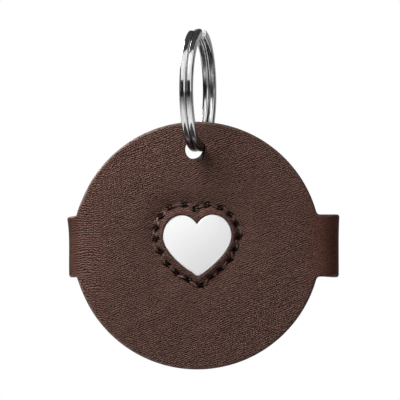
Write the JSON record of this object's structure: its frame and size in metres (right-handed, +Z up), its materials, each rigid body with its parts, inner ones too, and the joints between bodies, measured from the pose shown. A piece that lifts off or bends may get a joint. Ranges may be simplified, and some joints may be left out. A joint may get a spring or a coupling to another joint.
{
  "type": "dog tag holder",
  "caption": "Round leather dog tag holder with a heart inlay, two straps folded and snapped behind it as a pocket, and a split ring to hang it from.",
  "frame": {"origin": "the inside of the split ring at its top, where a collar's ring or hook carries it", "axes": "+Z up along the hanging holder, -Y out of the front with the heart, +X to the viewer's right"},
  "size_m": [0.0541, 0.0246, 0.0688],
  "materials": {
    "brown_leather": "fine-grained dark brown calf leather, satin",
    "white_inlay": "smooth white coating, satin",
    "brown_thread": "waxed sewing thread in the leather's colour",
    "ring_steel": "polished nickel-plated steel",
    "snap_nickel": "nickel-plated, satin"
  },
  "bodies": {
    "ring": {"split_ring": "ring_steel"},
    "holder": {"front_panel": "brown_leather", "heart_inlay": "white_inlay", "backing_patch": "brown_leather", "needle_thread": "brown_thread", "bobbin_thread": "brown_thread"},
    "outer_strap": {"outer_flap": "brown_leather", "snap_cap": "snap_nickel", "snap_socket": "snap_nickel"},
    "inner_strap": {"inner_flap": "brown_leather", "snap_stud": "snap_nickel", "snap_post": "snap_nickel"}
  },
  "joints": [
    {"name": "holder_swing", "type": "hinge", "parent": "ring", "child": "holder", "pos_m": [0, 0, -0.02218], "axis": [0.2045, 0.9789, 0], "range_deg": [-95, 95]},
    {"name": "outer_fold", "type": "hinge", "parent": "holder", "child": "outer_strap", "pos_m": [0.0282, 0.00495, -0.042], "axis": [0, 0, 1], "range_deg": [-140, 0]},
    {"name": "inner_fold", "type": "hinge", "parent": "holder", "child": "inner_strap", "pos_m": [-0.0259, 0.0036, -0.042], "axis": [0, 0, 1], "range_deg": [0, 65]}
  ],
  "couplings": [
    {"joint": "inner_fold", "follows": "outer_fold", "ratio": -0.45}
  ]
}
